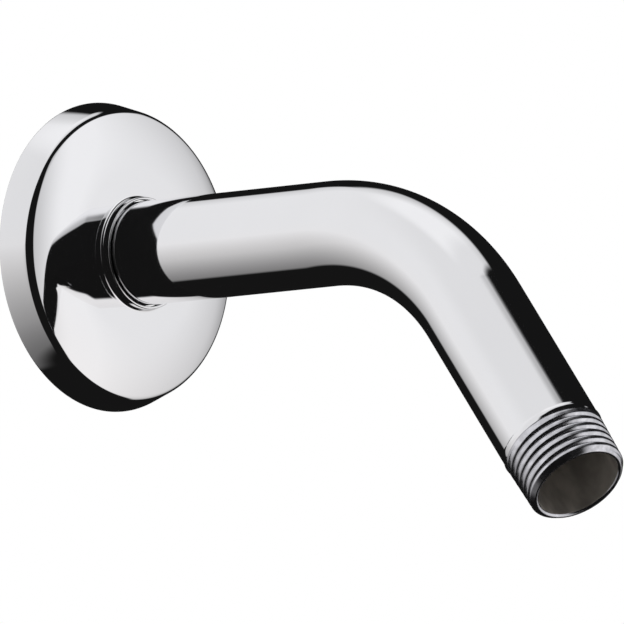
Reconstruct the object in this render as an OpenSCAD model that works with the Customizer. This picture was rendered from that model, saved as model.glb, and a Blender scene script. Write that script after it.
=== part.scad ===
// Wall-mounted shower arm with a sliding round flange, in millimetres.
// The wall plane is X = 0, +X points out of the wall and +Z is up.
// The arm's straight leg lies on the X axis and the arm bends down in the XZ plane.

/* [Tube] */
// Outside diameter of the arm's tube
tube_d = 21.34; // [20:0.1:24]
// Diameter of the waterway through the tube
bore_d = 17.5; // [14:0.1:18]
// Length of the inlet end that stands behind the wall plane
inlet_len = 16.7; // [15:0.1:30]
// Length of the straight leg from the wall plane to the bend
leg_len = 63; // [60:0.5:260]
// Radius of the bend, measured at the tube's axis
bend_r = 53.5; // [32:0.5:90]
// Angle that the arm turns down by, in degrees
bend_angle = 50; // [25:1:80]
// Length of the straight outlet leg, from the bend to its tip
outlet_len = 49.2; // [30:0.1:120]

/* [Thread ends] */
// Length of each threaded end, with its shoulder
thread_len = 12.6; // [10:0.1:14]
// Diameter of the plain blank that carries the thread
thread_d = 21; // [19:0.1:21.2]
// Width of the shoulder where the tube runs into the thread
shoulder_len = 1.5; // [1:0.1:3]
// Height of the shoulder above the tube
shoulder_proud = 0.18; // [0.05:0.01:0.3]
// Length of each slope of the shoulder
shoulder_slope = 0.5; // [0.2:0.1:0.5]
// Chamfer that leads a fitting onto the thread
lead_chamfer = 0.9; // [0.3:0.1:1.2]
// Chamfer inside each mouth of the waterway
mouth_chamfer = 0.35; // [0.1:0.05:0.6]

/* [Flange] */
// Diameter of the flange where it meets the wall
flange_d = 63.5; // [55:0.5:90]
// Thickness of the flange's pressed sheet
sheet = 0.6; // [0.4:0.05:1]
// Height that the face would have on the flange's axis
crown_h = 9.7; // [9:0.1:14]
// Radius of the nearly flat middle of the face
dome_r = 760; // [400:20:1600]
// Width of the band at the rim over which the face falls away
swell_band = 14.75; // [12:0.25:17]
// Radius of the sweep that falls away from the middle of the face to its edge
swell_r = 34; // [28:1:60]
// Lean of the flange's side towards its axis, in degrees
side_lean = 17; // [5:1:25]
// Radius of the round between the side and the face
edge_r = 2; // [1.4:0.1:3]
// Radius of the round where the side meets the wall
foot_r = 0.35; // [0.1:0.05:0.4]
// Rise of the collar's tip above the face's height on the axis
collar_rise = 2; // [1.4:0.1:4]
// Radius of the fillet from the face into the collar
collar_root_r = 0.6; // [0.4:0.1:1]
// Radial gap between the collar's hole and the tube
slide_gap = 0.25; // [0.2:0.01:0.5]

/* [Hidden] */

tube_r = tube_d / 2;
bore_r = bore_d / 2;
thread_r = thread_d / 2;
shoulder_r = tube_r + shoulder_proud;
shoulder_gap = 0.05;
run_reach = bend_r + inlet_len + leg_len + outlet_len;
mouth_reach = 1;

flange_r = flange_d / 2;
swell_start = flange_r - swell_band;
// The hole clears the tube, and the shoulder that it passes over when it is fitted
hole_r = max(tube_r + slide_gap, shoulder_r + shoulder_gap);
collar_r = hole_r + sheet;
collar_h = crown_h + collar_rise;

// The middle of the face, and the sweep that leaves it without a corner
dome_c = [0, crown_h - dome_r];
swell_tilt = acos(swell_start / dome_r);
swell_c = dome_c + (dome_r - swell_r) * [cos(swell_tilt), sin(swell_tilt)];

// The round at the wall leaves the inner part of the sheet's edge flat
foot_round = min(foot_r, 0.6 * sheet);
foot_c = [flange_r - foot_round, foot_round];
foot_inner = foot_c[0] + (foot_round * (1 + sin(side_lean)) - sheet) / cos(side_lean);

// The round at the rim touches the leaning side and the sweep from inside
edge_line = foot_c + (foot_round - edge_r) * [cos(side_lean), sin(side_lean)] - swell_c;
edge_way = [-sin(side_lean), cos(side_lean)];
edge_half = edge_line * edge_way;
edge_run = -edge_half + sqrt(edge_half * edge_half - edge_line * edge_line + pow(swell_r - edge_r, 2));
edge_c = edge_line + edge_run * edge_way + swell_c;
edge_tilt = atan2(edge_c[1] - swell_c[1], edge_c[0] - swell_c[0]);

// The fillet at the root of the collar touches the middle of the face and the collar from outside
root_x = collar_r + collar_root_r;
root_c = [root_x, dome_c[1] + sqrt(pow(dome_r + collar_root_r, 2) - root_x * root_x)];
root_tilt = atan2(root_c[1] - dome_c[1], root_c[0]);

arc_steps = 12;
face_steps = 6;
foot_steps = 6;

// Points on an arc, from one angle to another
function arc(c, r, from, to, steps) =
    [for (i = [0:steps]) let (a = from + (to - from) * i / steps) c + r * [cos(a), sin(a)]];

// The sheet's edge on the wall, from inside to outside
function foot() = concat([[foot_inner, 0]], arc(foot_c, foot_round, -90, side_lean, foot_steps));

// One skin of the pressed sheet from the side to the collar, at a depth below the outer face
function skin(depth) = concat(
    arc(edge_c, edge_r - depth, side_lean, edge_tilt, arc_steps),
    arc(swell_c, swell_r - depth, edge_tilt, swell_tilt, 2 * arc_steps),
    arc(dome_c, dome_r - depth, swell_tilt, root_tilt, face_steps),
    arc(root_c, collar_root_r + depth, root_tilt + 180, 180, arc_steps)
);

function reversed(list) = [for (i = [len(list) - 1:-1:0]) list[i]];

// The rolled tip of the collar
function collar_tip() = arc([hole_r + sheet / 2, collar_h - sheet / 2], sheet / 2, 0, 180, arc_steps);

// Full ring that the bend is a share of, round the bend's centre
module bend_ring(r) {
    rotate([90, 0, 0]) rotate_extrude($fn = 180) translate([bend_r, 0]) circle(r = r, $fn = 96);
}

// A quarter of the bend's ring and the straight leg that follows it along +X
module quarter_and_leg(r, length) {
    intersection() {
        bend_ring(r);
        translate([-run_reach, -tube_d, 0]) cube([run_reach, 2 * tube_d, run_reach]);
    }
    translate([0, 0, bend_r]) rotate([0, 90, 0]) cylinder(r = r, h = length, $fn = 96);
}

// A shape drawn along +Z from a leg's tip, set at that tip
module at_tip(leg) {
    translate([leg, 0, bend_r]) rotate([0, -90, 0]) children();
}

// Half of the bend with the leg that it runs into, cut off at the bend's middle plane
module arm_half() {
    intersection() {
        rotate([0, bend_angle / 2, 0]) children();
        translate([0, -tube_d, -run_reach]) cube([run_reach, 2 * tube_d, 2 * run_reach]);
    }
}

// Places what is drawn in the frame of the bend's middle, with the straight leg level
module at_bend() {
    translate([leg_len, 0, -bend_r]) rotate([0, bend_angle / 2, 0]) children();
}

// Blank of one threaded end, from its tip to the shoulder and the tube
module thread_blank() {
    rotate_extrude($fn = 96) polygon([
        [0, 0],
        [thread_r - lead_chamfer, 0],
        [thread_r, lead_chamfer],
        [thread_r, thread_len - shoulder_len],
        [shoulder_r, thread_len - shoulder_len + shoulder_slope],
        [shoulder_r, thread_len - shoulder_slope],
        [tube_r, thread_len],
        [0, thread_len]
    ]);
}

// Flare that opens one mouth of the waterway
module mouth_flare() {
    translate([0, 0, -mouth_reach])
        cylinder(
            r1 = bore_r + mouth_chamfer + mouth_reach,
            r2 = bore_r,
            h = mouth_chamfer + mouth_reach,
            $fn = 96
        );
}

// Half of the arm with one open, threaded end
module open_half(leg) {
    difference() {
        arm_half() {
            quarter_and_leg(tube_r, leg - thread_len);
            at_tip(leg) thread_blank();
        }
        arm_half() quarter_and_leg(bore_r, leg);
        rotate([0, bend_angle / 2, 0]) at_tip(leg) mouth_flare();
    }
}

// One bent tube, open from end to end
module arm() {
    color("silver") at_bend() {
        open_half(outlet_len);
        rotate([0, 0, 180]) open_half(inlet_len + leg_len);
    }
}

// Pressed flange: a leaning side, a rounded edge, a swelling face and a collar round the tube
module flange() {
    color("gainsboro") rotate([0, 90, 0])
        rotate_extrude($fn = 180) polygon(concat(foot(), skin(0), collar_tip(), reversed(skin(sheet))));
}

arm();
flange();
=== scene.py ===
"""The finished look of a bent, plated shower arm and its sliding wall flange."""

import math

import bpy
from mathutils import Matrix, Vector


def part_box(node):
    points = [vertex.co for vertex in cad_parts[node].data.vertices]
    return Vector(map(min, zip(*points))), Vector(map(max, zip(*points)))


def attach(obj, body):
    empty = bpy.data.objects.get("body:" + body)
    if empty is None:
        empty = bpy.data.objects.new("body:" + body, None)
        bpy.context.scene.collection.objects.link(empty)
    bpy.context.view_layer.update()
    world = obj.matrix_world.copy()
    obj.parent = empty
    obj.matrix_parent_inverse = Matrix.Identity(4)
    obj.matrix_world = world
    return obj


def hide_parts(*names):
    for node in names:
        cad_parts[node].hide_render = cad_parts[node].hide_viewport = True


bl_info = {
    "name": "Shower arm with flange",
    "version": (1, 0, 0),
    "blender": (4, 5, 0),
    "location": "View3D > Sidebar > Shower Arm",
    "description": "Models a bent, plated shower arm with threaded ends and its sliding wall flange",
    "category": "Add Mesh",
}

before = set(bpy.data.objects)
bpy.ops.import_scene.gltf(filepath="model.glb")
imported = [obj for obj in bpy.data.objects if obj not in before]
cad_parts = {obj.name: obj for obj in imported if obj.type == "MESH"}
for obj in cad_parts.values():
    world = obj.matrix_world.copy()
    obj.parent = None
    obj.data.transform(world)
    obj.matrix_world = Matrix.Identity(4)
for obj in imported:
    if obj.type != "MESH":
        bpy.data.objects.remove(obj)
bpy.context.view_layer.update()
flange_low, flange_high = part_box("flange")
arm_low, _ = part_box("arm")

MM = 0.001
# Points of two rings that lie closer than this are one point
MERGE_DISTANCE = 0.001 * MM
# A ring this far from a corner keeps the corner's shading off the long faces beside it
HOLD = 0.25 * MM


def length(name, description, millimetres):
    """A length property in metres, given its default in millimetres."""
    return bpy.props.FloatProperty(
        name=name,
        description=description,
        default=millimetres * MM,
        min=0.0,
        unit="LENGTH",
        precision=5,
    )


def turn(name, description, degrees):
    """An angle property, given its default in degrees."""
    return bpy.props.FloatProperty(
        name=name,
        description=description,
        default=math.radians(degrees),
        unit="ROTATION",
    )


def tint(name, description, colour):
    """A colour property in linear red, green and blue."""
    return bpy.props.FloatVectorProperty(
        name=name, description=description, default=colour, size=3, subtype="COLOR", min=0.0, max=1.0
    )


def share(name, description, value):
    """A factor property from 0 to 1."""
    return bpy.props.FloatProperty(
        name=name, description=description, default=value, min=0.0, max=1.0, subtype="FACTOR"
    )


class ArmSizes(bpy.types.PropertyGroup):
    """Sizes of the bent tube."""

    tube_d: length("Tube diameter", "Outside diameter of the tube", 21.34)
    bore_d: length("Bore diameter", "Diameter of the waterway", 17.5)
    inlet: length("Inlet length", "Tube behind the wall plane", -arm_low.x / MM)
    leg: length("Straight leg", "From the wall plane to the bend", 63.0)
    bend_r: length("Bend radius", "Radius of the bend at the tube's axis", 53.5)
    bend_angle: turn("Bend angle", "How far the arm turns down", 50.0)
    outlet: length("Outlet leg", "From the bend to the outlet's tip", 49.2)


class ThreadSizes(bpy.types.PropertyGroup):
    """Sizes of the two threaded ends."""

    end: length("Threaded end", "Length of a threaded end with its shoulder", 12.6)
    shoulder: length("Shoulder width", "Width of the raised shoulder", 1.5)
    shoulder_slope: length("Shoulder slope", "Length of each slope of the shoulder", 0.5)
    shoulder_proud: length("Shoulder height", "Height of the shoulder above the tube", 0.18)
    pitch: length("Pitch", "Distance from one turn of the thread to the next", 1.814)
    crest_r: length("Crest radius at the tip", "Radius of the thread's crests at the tip", 10.36)
    taper: share("Taper", "Growth of the thread's radius per unit of length", 1 / 32)
    depth: length("Thread depth", "Depth of the thread below its crests", 0.5)
    chamfer: length("Lead chamfer", "Chamfer that leads a fitting onto the thread", 0.9)
    mouth: length("Mouth chamfer", "Chamfer inside the mouth of the waterway", 0.35)


class FlangeSizes(bpy.types.PropertyGroup):
    """Sizes of the pressed flange."""

    diameter: length("Diameter", "Diameter at the wall", (flange_high.y - flange_low.y) / MM)
    sheet: length("Sheet", "Thickness of the pressed sheet", 0.6)
    crown: length("Crown height", "Height the face would have on the axis", 9.7)
    dome_r: length("Dome radius", "Radius of the nearly flat middle of the face", 760.0)
    swell_band: length("Sweep width", "Width of the band over which the face falls away", 14.75)
    swell_r: length("Sweep radius", "Radius of the sweep from the middle to the edge", 34.0)
    side_lean: turn("Side lean", "Lean of the side towards the axis", 17.0)
    edge_r: length("Edge radius", "Round between the side and the face", 2.0)
    foot_r: length("Foot radius", "Round where the side meets the wall", 0.35)
    collar: length("Collar height", "From the wall plane to the collar's tip", 11.7)
    root_r: length("Collar root", "Radius of the sweep from the face into the collar", 0.6)
    hole_r: length("Hole radius", "Radius of the hole that the tube runs in", 10.92)


class FinishLooks(bpy.types.PropertyGroup):
    """Colours and polish of the plating and of the bare waterway."""

    chrome: tint("Chrome", "Colour of the polished plating", (0.90, 0.90, 0.91))
    thread: tint("Thread", "Colour of the plated thread", (0.78, 0.78, 0.82))
    bore: tint("Bore", "Colour of the dull metal in the waterway", (0.50, 0.46, 0.41))
    polish: share("Polish", "Roughness of the polished plating", 0.035)


class PanelLooks(bpy.types.PropertyGroup):
    """The panel in front of the flange's face, by direction: azimuth 0 is straight out of the wall."""

    left: turn("Left edge", "Azimuth of the left edge, level with the object", 0.0)
    right: turn("Right edge", "Azimuth of the right edge, level with the object", 92.0)
    low: turn("Lower edge", "Angle of the lower edge above the horizon", -37.0)
    high: turn("Upper edge", "Angle of the upper edge above the horizon", 45.0)
    glow: share("Glow", "Strength of the panel's light where it is brightest", 0.95)


class StageLooks(bpy.types.PropertyGroup):
    """Where the camera stands, and the studio round it."""

    azimuth: turn("Azimuth", "Camera's angle round the object", 43.6334)
    elevation: turn("Elevation", "Camera's angle above the horizon", -10.3892)
    roll: turn("Roll", "Camera's turn about its own line of sight", 3.9329)
    distance: length("Distance", "From the camera to the point it aims at", 4000.0)
    lens: bpy.props.FloatProperty(
        name="Lens", description="Focal length in millimetres", default=1137.48, min=1.0, unit="CAMERA"
    )
    aim: bpy.props.FloatVectorProperty(
        name="Aim",
        description="Point that the camera aims at",
        default=(0.054131, 0.005097, -0.014583),
        subtype="TRANSLATION",
        unit="LENGTH",
    )
    floor_drop: length("Floor drop", "How far the floor lies below the wall plane's origin", 1300.0)
    floor_size: length("Floor size", "Side of the square floor", 60000.0)
    floor_white: share("Floor white", "How far the floor shows plain white to the camera", 0.8)


class Value:
    """A shader socket in an expression: an operator on it adds its Math node."""

    def __init__(self, tree, socket):
        self.tree = tree
        self.socket = socket

    def __add__(self, other):
        return self.tree.maths("ADD", self, other)

    __radd__ = __add__

    def __sub__(self, other):
        return self.tree.maths("SUBTRACT", self, other)

    def __rsub__(self, other):
        return self.tree.maths("SUBTRACT", other, self)

    def __mul__(self, other):
        return self.tree.maths("MULTIPLY", self, other)

    __rmul__ = __mul__


class Tree:
    """A node tree that is written as expressions."""

    def __init__(self, owner):
        owner.use_nodes = True
        self.nodes = owner.node_tree.nodes
        self.links = owner.node_tree.links
        self.nodes.clear()

    def node(self, kind, settings=None, *inputs, out=None, **named):
        """Add a node: its settings, then its sockets' values or links by order or name, and the result."""
        made = self.nodes.new(kind)
        for key, value in (settings or {}).items():
            setattr(made, key, value)
        # Settings switch off the sockets that they don't use, and the order leaves those out
        ordered = zip([socket for socket in made.inputs if socket.enabled], inputs)
        by_name = [(made.inputs[key.replace("_", " ")], value) for key, value in named.items()]
        for socket, value in [*ordered, *by_name]:
            if isinstance(value, Value):
                self.links.new(value.socket, socket)
            else:
                socket.default_value = value
        results = [socket for socket in made.outputs if socket.enabled and out in (None, socket.name)]
        return Value(self, results[0]) if results else None

    def maths(self, operation, *inputs):
        """The result of a Math node on values and numbers."""
        return self.node("ShaderNodeMath", {"operation": operation}, *inputs)

    def rise(self, value, low, high):
        """0 below low, 1 above high and a soft step between them."""
        settings = {"interpolation_type": "SMOOTHSTEP"}
        return self.node("ShaderNodeMapRange", settings, value, low, high)

    def band(self, value, low, high, soft):
        """1 between low and high, 0 outside, with soft edges."""
        return self.rise(value, low - soft, low + soft) * (1 - self.rise(value, high - soft, high + soft))

    def higher(self, first, second):
        """The higher of two values."""
        return self.maths("MAXIMUM", first, second)

    def above(self, value, level):
        """How far a value lies above a level, and 0 below it."""
        return self.higher(value - level, 0.0)

    def mix(self, factor, first, second):
        """A colour between two colours."""
        return self.node("ShaderNodeMix", {"data_type": "RGBA"}, factor, first, second)


def opaque(colour, shade=1.0):
    """A colour with its alpha, at a share of its brightness."""
    return (*(shade * Vector(colour)), 1.0)


def add_material(name, build):
    """A new material whose surface shader is what build returns."""
    material = bpy.data.materials.new(name)
    tree = Tree(material)
    surface = build(tree)
    tree.node("ShaderNodeOutputMaterial", None, Surface=surface)
    return material


def fine_noise(tree, scale, detail, stretch=(1.0, 1.0, 1.0)):
    """Noise on the object's own coordinates, in repeats per metre."""
    place = tree.node("ShaderNodeTexCoord", None, out="Object")
    stretched = tree.node("ShaderNodeMapping", None, place, Scale=stretch)
    return tree.node("ShaderNodeTexNoise", None, stretched, Scale=scale, Detail=detail)


def polished_chrome(finish):
    """Bright plating with a faint unevenness in its polish."""

    def build(tree):
        cloud = fine_noise(tree, scale=60.0, detail=3.0)
        hairline = fine_noise(tree, scale=900.0, detail=2.0, stretch=(1.0, 0.2, 0.2))
        worn = opaque(finish.chrome, shade=0.97)
        bump = tree.node("ShaderNodeBump", None, Strength=0.02, Distance=0.02 * MM, Height=hairline)
        return tree.node(
            "ShaderNodeBsdfPrincipled",
            None,
            Base_Color=tree.mix(cloud, worn, opaque(finish.chrome)),
            Metallic=1.0,
            Roughness=finish.polish + 0.03 * (cloud - 0.5),
            Normal=bump,
        )

    return add_material("polished_chrome", build)


def thread_chrome(finish):
    """Plating over the cut thread, duller in small patches."""

    def build(tree):
        smudge = fine_noise(tree, scale=500.0, detail=3.0)
        dull = opaque(finish.thread, shade=0.75)
        return tree.node(
            "ShaderNodeBsdfPrincipled",
            None,
            Base_Color=tree.mix(tree.rise(smudge, 0.35, 0.65), dull, opaque(finish.thread)),
            Metallic=1.0,
            Roughness=0.16 + 0.1 * smudge,
        )

    return add_material("thread_chrome", build)


def bare_bore(finish):
    """Dull bare metal of the waterway, streaked by the drawing of the tube."""

    def build(tree):
        streak = fine_noise(tree, scale=400.0, detail=4.0, stretch=(0.3, 1.0, 0.3))
        dark = opaque(finish.bore, shade=0.6)
        bump = tree.node("ShaderNodeBump", None, Strength=0.2, Distance=0.05 * MM, Height=streak)
        return tree.node(
            "ShaderNodeBsdfPrincipled",
            None,
            Base_Color=tree.mix(tree.rise(streak, 0.3, 0.7), dark, opaque(finish.bore)),
            Metallic=0.3,
            Roughness=0.35 + 0.15 * streak,
            Normal=bump,
        )

    return add_material("bare_bore", build)


def deselect_all():
    """Leave edit mode and select nothing."""
    if bpy.context.object and bpy.context.object.mode != "OBJECT":
        bpy.ops.object.mode_set(mode="OBJECT")
    bpy.ops.object.select_all(action="DESELECT")


class RingWalk:
    """An open ring of edges that is extruded from station to station into a skin."""

    def __init__(self, name, centre, way, radius, sides):
        deselect_all()
        self.centre = Vector(centre)
        self.way = Vector(way)
        self.radius = radius
        bpy.ops.mesh.primitive_circle_add(
            vertices=sides,
            radius=radius,
            fill_type="NOTHING",
            location=self.centre,
            rotation=self.way.to_track_quat("Z", "Y").to_euler(),
        )
        self.piece = bpy.context.object
        self.piece.name = name
        self.piece.data.name = name
        bpy.ops.object.transform_apply(location=True, rotation=True, scale=True)
        bpy.ops.object.mode_set(mode="EDIT")
        bpy.ops.mesh.select_mode(type="VERT")
        bpy.ops.mesh.select_all(action="SELECT")

    def step(self, ahead, radius):
        """Extrude the ring ahead along its axis, to a new radius."""
        move = self.way * ahead
        self.centre = self.centre + move
        bpy.ops.mesh.extrude_edges_move(TRANSFORM_OT_translate={"value": move})
        if radius != self.radius:
            ratio = radius / self.radius
            bpy.ops.transform.resize(value=(ratio, ratio, ratio), center_override=self.centre)
        self.radius = radius

    def follow(self, outline):
        """Extrude the ring through the points of an outline, each a place ahead and a radius."""
        for (here, _), (there, radius) in zip(outline, outline[1:]):
            self.step(there - here, radius)

    def straight(self, ahead):
        """A straight stretch, with a ring close to each of its ends."""
        hold = math.copysign(HOLD, ahead)
        for part in (hold, ahead - 2 * hold, hold):
            self.step(part, self.radius)

    def swing(self, pivot, angle, steps):
        """Spin the ring round a pivot, about the Y axis."""
        bpy.ops.mesh.spin(steps=steps, angle=-angle, center=pivot, axis=(0, 1, 0))
        turned = Matrix.Rotation(angle, 3, "Y")
        self.centre = turned @ (self.centre - Vector(pivot)) + Vector(pivot)
        self.way = turned @ self.way

    def close(self):
        """Join the last ring to the first and turn all faces outwards."""
        bpy.ops.mesh.select_all(action="SELECT")
        bpy.ops.mesh.remove_doubles(threshold=MERGE_DISTANCE)
        bpy.ops.mesh.normals_make_consistent(inside=False)
        bpy.ops.object.mode_set(mode="OBJECT")
        bpy.ops.object.shade_smooth()
        return self.piece


def give_material(piece, material, wanted):
    """Give a material to the faces whose centre is wanted."""
    piece.data.materials.append(material)
    piece.active_material_index = len(piece.data.materials) - 1
    bpy.ops.object.mode_set(mode="EDIT")
    bpy.ops.mesh.select_mode(type="FACE")
    bpy.ops.mesh.select_all(action="DESELECT")
    bpy.ops.object.mode_set(mode="OBJECT")
    for face in piece.data.polygons:
        face.select = wanted(face.center)
    bpy.ops.object.mode_set(mode="EDIT")
    bpy.ops.object.material_slot_assign()
    bpy.ops.object.mode_set(mode="OBJECT")


def arc(centre, radius, start, end, steps):
    """Points on an arc, from one angle to another."""
    angles = [start + (end - start) * i / steps for i in range(steps + 1)]
    return [(centre[0] + radius * math.cos(a), centre[1] + radius * math.sin(a)) for a in angles]


ARM_SIDES = 144
FLANGE_SIDES = 192
BEND_STEPS = 60
SKIN_STEPS = 20
TIP_STEPS = 12
FOOT_STEPS = 8
THREAD_STEP = 0.12 * MM
# The power that a wave is raised to, so that broad turns lie between narrow grooves
GROOVE_POWER = 4


class ArmPath:
    """The arm's axis: where it bends and ends, and how far a point lies from it."""

    def __init__(self, sizes):
        self.pivot = Vector((sizes.leg, 0.0, -sizes.bend_r))
        self.way = Vector((math.cos(sizes.bend_angle), 0.0, -math.sin(sizes.bend_angle)))
        turned = Matrix.Rotation(sizes.bend_angle, 3, "Y")
        self.bend_end = turned @ Vector((0.0, 0.0, sizes.bend_r)) + self.pivot
        self.tip = self.bend_end + self.way * sizes.outlet
        self.sizes = sizes

    def ends(self):
        """The tip and the outward direction of the inlet and of the outlet."""
        inlet = Vector((-self.sizes.inlet, 0.0, 0.0))
        return (inlet, Vector((-1.0, 0.0, 0.0))), (self.tip, self.way)

    def off_axis(self, point):
        """Distance of a point from the arm's axis."""
        if point.x <= self.sizes.leg:
            return math.hypot(point.y, point.z)
        past = (point - self.bend_end).dot(self.way)
        if past >= 0:
            return (point - self.bend_end - self.way * past).length
        spoke = math.hypot(point.x - self.pivot.x, point.z - self.pivot.z)
        return math.hypot(spoke - self.sizes.bend_r, point.y)


def blank_length(thread):
    """Length of a threaded end from its tip to its shoulder."""
    return thread.end - thread.shoulder


def threaded_end(sizes, thread):
    """Outline of a threaded end from the tube to the waterway: distance to the tip and radius."""
    tube_r = sizes.tube_d / 2
    bore_r = sizes.bore_d / 2
    shoulder_r = tube_r + thread.shoulder_proud
    blank = blank_length(thread)
    outline = [
        (thread.end + HOLD, tube_r),
        (thread.end, tube_r),
        (thread.end - thread.shoulder_slope * 0.5, tube_r + thread.shoulder_proud * 0.5),
        (thread.end - thread.shoulder_slope, shoulder_r),
        (blank + thread.shoulder_slope, shoulder_r),
    ]
    rings = round(blank / THREAD_STEP)
    for i in range(rings + 1):
        place = blank * (1 - i / rings)
        outline.append((place, thread.crest_r + thread.taper * place))
    outline.append((0.0, bore_r + thread.mouth))
    outline.append((thread.mouth, bore_r))
    outline.append((thread.mouth + HOLD, bore_r))
    return outline


def cut_thread(piece, tip, way, sizes, thread):
    """Move the points of one end in to a right-handed helical groove with a run-out."""
    side = Vector((0.0, 1.0, 0.0))
    other = way.cross(side)
    blank = blank_length(thread)
    bore_r = sizes.bore_d / 2
    for vertex in piece.data.vertices:
        from_tip = vertex.co - tip
        back = -from_tip.dot(way)
        if not -MERGE_DISTANCE < back < blank + thread.shoulder_slope:
            continue
        spoke = from_tip + way * back
        radius = spoke.length
        if radius < bore_r + thread.mouth + MERGE_DISTANCE:
            continue
        around = math.atan2(spoke.dot(other), spoke.dot(side)) / (2 * math.pi)
        turns = back / thread.pitch + around
        groove = (0.5 - 0.5 * math.cos(2 * math.pi * turns)) ** GROOVE_POWER
        fade = min(1.0, max(0.0, (blank - back) / thread.pitch))
        crest = thread.crest_r + thread.taper * back
        lead = min(0.0, back - thread.chamfer)
        cut_r = min(crest - thread.depth * groove * fade, crest + lead)
        if radius > cut_r:
            vertex.co = tip - way * back + spoke * (cut_r / radius)


def foot_centre(sizes):
    """Centre of the round where the side meets the wall: radius and height."""
    return Vector((sizes.diameter / 2 - sizes.foot_r, sizes.foot_r))


def flange_foot(sizes):
    """Outline of the sheet's edge on the wall, from inside to outside: radius and height."""
    lean = sizes.side_lean
    centre = foot_centre(sizes)
    inner = centre.x + (sizes.foot_r * (1 + math.sin(lean)) - sizes.sheet) / math.cos(lean)
    return [(inner, 0.0), *arc(centre, sizes.foot_r, -math.pi / 2, lean, FOOT_STEPS)]


def flange_skin(sizes, depth):
    """Outline of one skin of the flange, from the side to the collar: radius and height."""
    lean = sizes.side_lean
    dome = Vector((0.0, sizes.crown - sizes.dome_r))
    swell_tilt = math.acos((sizes.diameter / 2 - sizes.swell_band) / sizes.dome_r)
    swell_way = Vector((math.cos(swell_tilt), math.sin(swell_tilt)))
    swell = dome + (sizes.dome_r - sizes.swell_r) * swell_way
    inset = (sizes.foot_r - sizes.edge_r) * Vector((math.cos(lean), math.sin(lean)))
    line = foot_centre(sizes) + inset - swell
    way = Vector((-math.sin(lean), math.cos(lean)))
    half = line.dot(way)
    run = -half + math.sqrt(half * half - line.length_squared + (sizes.swell_r - sizes.edge_r) ** 2)
    edge = line + run * way
    edge_tilt = math.atan2(edge.y, edge.x)
    edge += swell
    root_x = sizes.hole_r + sizes.sheet + sizes.root_r
    root_y = math.sqrt((sizes.dome_r + sizes.root_r) ** 2 - root_x**2)
    root = dome + Vector((root_x, root_y))
    root_tilt = math.atan2(root_y, root_x)
    return [
        *arc(edge, sizes.edge_r - depth, lean, edge_tilt, SKIN_STEPS),
        *arc(swell, sizes.swell_r - depth, edge_tilt, swell_tilt, 2 * SKIN_STEPS)[1:],
        *arc(dome, sizes.dome_r - depth, swell_tilt, root_tilt, SKIN_STEPS)[1:],
        *arc(root, sizes.root_r + depth, root_tilt + math.pi, math.pi, SKIN_STEPS)[1:],
    ]


class ADD_OT_shower_arm(bpy.types.Operator):
    """Model the bent tube with its threaded ends and its open waterway"""

    bl_idname = "mesh.add_shower_arm"
    bl_label = "Shower Arm"

    def execute(self, context):
        sizes = context.scene.arm_sizes
        thread = context.scene.arm_thread
        path = ArmPath(sizes)
        outward = threaded_end(sizes, thread)
        inward = outward[::-1]
        mouth_r = inward[0][1]
        start = (inward[0][0] - sizes.inlet, 0.0, 0.0)
        # Out of the inlet's mouth and back over its thread
        walk = RingWalk("shower_arm", start, (-1.0, 0.0, 0.0), mouth_r, ARM_SIDES)
        walk.follow([(-place, radius) for place, radius in inward])
        # Along the outside of the tube to the outlet, and in at its mouth
        walk.way = -walk.way
        walk.straight(sizes.leg - walk.centre.x)
        walk.swing(path.pivot, sizes.bend_angle, BEND_STEPS)
        walk.straight(sizes.outlet - thread.end - HOLD)
        walk.follow([(-place, radius) for place, radius in outward])
        # Back through the waterway to the first ring
        walk.way = -walk.way
        walk.straight(sizes.outlet - outward[-1][0])
        walk.swing(path.pivot, -sizes.bend_angle, BEND_STEPS)
        walk.straight(sizes.leg + sizes.inlet - outward[-1][0])
        arm = walk.close()
        for tip, way in path.ends():
            cut_thread(arm, tip, way, sizes, thread)
        finish = context.scene.arm_finish
        # Between the bare waterway's faces and the middle of the mouth's plated chamfer
        bore_edge = sizes.bore_d / 2 + 0.3 * thread.mouth
        blank = blank_length(thread)

        def on_thread(point):
            return any(
                abs((tip - point).dot(way)) < blank
                and (tip - point).length < sizes.tube_d
                and path.off_axis(point) > bore_edge
                for tip, way in path.ends()
            )

        give_material(arm, polished_chrome(finish), lambda point: True)
        give_material(arm, thread_chrome(finish), on_thread)
        give_material(arm, bare_bore(finish), lambda point: path.off_axis(point) < bore_edge)
        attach(arm, "arm")
        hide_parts("arm")
        return {"FINISHED"}


class ADD_OT_wall_flange(bpy.types.Operator):
    """Model the pressed flange with its collar"""

    bl_idname = "mesh.add_wall_flange"
    bl_label = "Wall Flange"

    def execute(self, context):
        sizes = context.scene.flange_sizes
        outer = flange_skin(sizes, 0.0)
        inner = flange_skin(sizes, sizes.sheet)
        tip_r = sizes.sheet / 2
        tip = arc((sizes.hole_r + tip_r, sizes.collar - tip_r), tip_r, 0.0, math.pi, TIP_STEPS)
        foot = flange_foot(sizes)
        outline = [(y, x) for x, y in [*foot, *outer, *tip, *inner[::-1], foot[0]]]
        walk = RingWalk("wall_flange", (0.0, 0.0, 0.0), (1.0, 0.0, 0.0), outline[0][1], FLANGE_SIDES)
        walk.follow(outline)
        flange = walk.close()
        give_material(flange, polished_chrome(context.scene.arm_finish), lambda point: True)
        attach(flange, "flange")
        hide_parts("flange")
        return {"FINISHED"}


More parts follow.
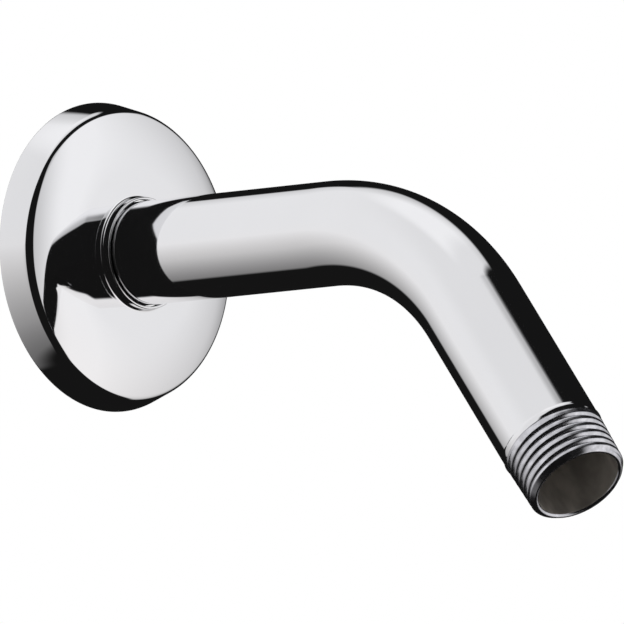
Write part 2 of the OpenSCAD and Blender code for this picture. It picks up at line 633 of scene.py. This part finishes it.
def broad_panel(tree, x, y, z):
    """Light of a broad panel beside and over the wall, by direction."""
    up = tree.above(z, 0.0)
    # The far edge lies past the zenith, further over towards the wall, with its low corner cut off
    far_edge = tree.rise(up * (0.46 - 0.25 * x) - 0.03 - y, -0.04, 0.05)
    far_corner = tree.higher(1 - tree.rise(y, 0.22, 0.27), tree.rise(z, 0.76, 0.82))
    # The near edge leans out with height until it stands straight, and comes in on the far side
    near_line = 0.27 - tree.above(0.4 - 0.57 * up, 0.0)
    near_edge = tree.rise(near_line - 0.33 * tree.above(y, 0.0) - x, -0.03, 0.03)
    low_edge = tree.rise(z, -0.96, -0.92)
    # The light is dimmer towards the far side and below the horizon, and brighter overhead by the wall
    fade = 1 - tree.above(0.5 + 0.85 * y - 0.65 * up, 0.0)
    overhead = 0.14 * tree.rise(z, 0.85, 0.95) * (1 - tree.rise(x, -0.08, 0.1))
    glow = 0.87 + 0.66 * (z - up) - 0.06 * tree.rise(x, -0.6, -0.2) + overhead
    return far_edge * far_corner * near_edge * low_edge * fade * glow


def face_panel(tree, panel, x, y, z):
    """Light of the panel in front of the flange's face, by direction in degrees."""
    azimuth = tree.maths("ARCTAN2", y, x) * math.degrees(1.0)
    height = tree.maths("ARCSINE", z) * math.degrees(1.0)
    # The left edge turns in below the horizon and out above it, and the right edge leans in above it
    turn_in = 16 * tree.rise(height, 0.0, -30.0)
    turn_out = 8 * tree.rise(height, 20.0, 40.0)
    past_left = azimuth - (math.degrees(panel.left) + turn_in - turn_out)
    past_right = azimuth - (math.degrees(panel.right) - 0.3 * tree.above(height, 10.0))
    sides = tree.rise(past_left, -4.0, 2.0) * (1 - tree.rise(past_right, -5.0, 3.0))
    ends = tree.band(height, math.degrees(panel.low), math.degrees(panel.high), 2.5)
    # It fades quickly to the left and slowly to the right
    left_fade = 0.58 + 0.42 * tree.rise(azimuth, -5.0, 24.0)
    right_fade = 1 - 0.0076 * tree.above(azimuth, 35.0) - 0.2 * tree.rise(azimuth, 72.0, 92.0)
    return panel.glow * sides * ends * left_fade * right_fade


def studio_light(tree, panel):
    """Soft panels in a dark studio, by direction: the wall is at -X and the camera towards -Y."""
    way = tree.node("ShaderNodeTexCoord", None, out="Generated")
    x, y, z = (tree.node("ShaderNodeSeparateXYZ", None, way, out=axis) for axis in "XYZ")
    dark_room = 0.008
    light = tree.higher(broad_panel(tree, x, y, z), face_panel(tree, panel, x, y, z)) + dark_room
    # The light is a little cooler from above than from below
    warm, cool = (1.0, 0.985, 0.985, 1.0), (0.985, 0.985, 1.0, 1.0)
    return tree.mix(light, (0.0, 0.0, 0.0, 1.0), tree.mix(tree.rise(z, -0.4, 0.3), warm, cool))


class SCENE_OT_studio(bpy.types.Operator):
    """Set the pale floor, the studio light and the camera"""

    bl_idname = "scene.shower_arm_studio"
    bl_label = "Studio"

    def execute(self, context):
        stage = context.scene.arm_stage
        self.add_floor(stage)
        self.add_light(context.scene, context.scene.arm_panel)
        self.add_camera(context.scene, stage)
        context.scene.view_settings.view_transform = "Standard"
        return {"FINISHED"}

    def add_floor(self, stage):
        """A pale floor far below, which the camera sees through from underneath."""

        def build(tree):
            camera_ray = tree.node("ShaderNodeLightPath", None, out="Is Camera Ray")
            underside = tree.node("ShaderNodeNewGeometry", None, out="Backfacing")
            pale = tree.node("ShaderNodeBsdfDiffuse", None, (0.9, 0.9, 0.9, 1.0))
            white = tree.node("ShaderNodeEmission", None, (1.0, 1.0, 1.0, 1.0), 1.0)
            clear = tree.node("ShaderNodeBsdfTransparent", None)
            shown = tree.node("ShaderNodeMixShader", None, camera_ray * stage.floor_white, pale, white)
            return tree.node("ShaderNodeMixShader", None, underside, shown, clear)

        deselect_all()
        bpy.ops.mesh.primitive_plane_add(size=stage.floor_size, location=(0, 0, -stage.floor_drop))
        floor = bpy.context.object
        floor.name = "floor"
        bpy.ops.object.transform_apply(location=True, rotation=True, scale=True)
        floor.data.materials.append(add_material("pale_floor", build))
        floor.visible_glossy = False

    def add_light(self, scene, panel):
        """A world that is white to the camera and a studio to the object."""
        world = bpy.data.worlds.new("studio")
        scene.world = world
        tree = Tree(world)
        camera_ray = tree.node("ShaderNodeLightPath", None, out="Is Camera Ray")
        studio = tree.node("ShaderNodeBackground", None, studio_light(tree, panel), 1.0)
        white = tree.node("ShaderNodeBackground", None, (1.0, 1.0, 1.0, 1.0), 1.0)
        shown = tree.node("ShaderNodeMixShader", None, camera_ray, studio, white)
        tree.node("ShaderNodeOutputWorld", None, Surface=shown)

    def add_camera(self, scene, stage):
        """A long lens at the photograph's angle."""
        back = Vector(
            (
                math.sin(stage.azimuth) * math.cos(stage.elevation),
                -math.cos(stage.azimuth) * math.cos(stage.elevation),
                math.sin(stage.elevation),
            )
        )
        level = Vector((math.cos(stage.azimuth), math.sin(stage.azimuth), 0.0))
        upright = back.cross(level)
        right = math.cos(stage.roll) * level + math.sin(stage.roll) * upright
        up = back.cross(right)
        data = bpy.data.cameras.new("camera")
        data.lens = stage.lens
        camera = bpy.data.objects.new("camera", data)
        scene.collection.objects.link(camera)
        place = Matrix((right, up, back)).transposed().to_4x4()
        place.translation = Vector(stage.aim) + stage.distance * back
        camera.matrix_world = place
        scene.camera = camera


class VIEW3D_PT_shower_arm(bpy.types.Panel):
    """Lists the pieces and their sizes"""

    bl_label = "Shower Arm"
    bl_space_type = "VIEW_3D"
    bl_region_type = "UI"
    bl_category = "Shower Arm"

    def draw(self, context):
        for operator, groups in STEPS:
            box = self.layout.box()
            box.operator(operator.bl_idname)
            for name in groups:
                settings = getattr(context.scene, name)
                for key in settings.__annotations__:
                    box.prop(settings, key)


GROUPS = {
    "arm_sizes": ArmSizes,
    "arm_thread": ThreadSizes,
    "flange_sizes": FlangeSizes,
    "arm_finish": FinishLooks,
    "arm_panel": PanelLooks,
    "arm_stage": StageLooks,
}
STEPS = (
    (ADD_OT_shower_arm, ("arm_sizes", "arm_thread", "arm_finish")),
    (ADD_OT_wall_flange, ("flange_sizes",)),
    (SCENE_OT_studio, ("arm_stage", "arm_panel")),
)
CLASSES = (*GROUPS.values(), *(operator for operator, _ in STEPS), VIEW3D_PT_shower_arm)


def register():
    for item in CLASSES:
        bpy.utils.register_class(item)
    for name, group in GROUPS.items():
        setattr(bpy.types.Scene, name, bpy.props.PointerProperty(type=group))


def unregister():
    for name in GROUPS:
        delattr(bpy.types.Scene, name)
    for item in reversed(CLASSES):
        bpy.utils.unregister_class(item)


def main():
    register()
    bpy.ops.mesh.add_shower_arm()
    bpy.ops.mesh.add_wall_flange()
    bpy.ops.scene.shower_arm_studio()


if __name__ == "__main__":
    main()
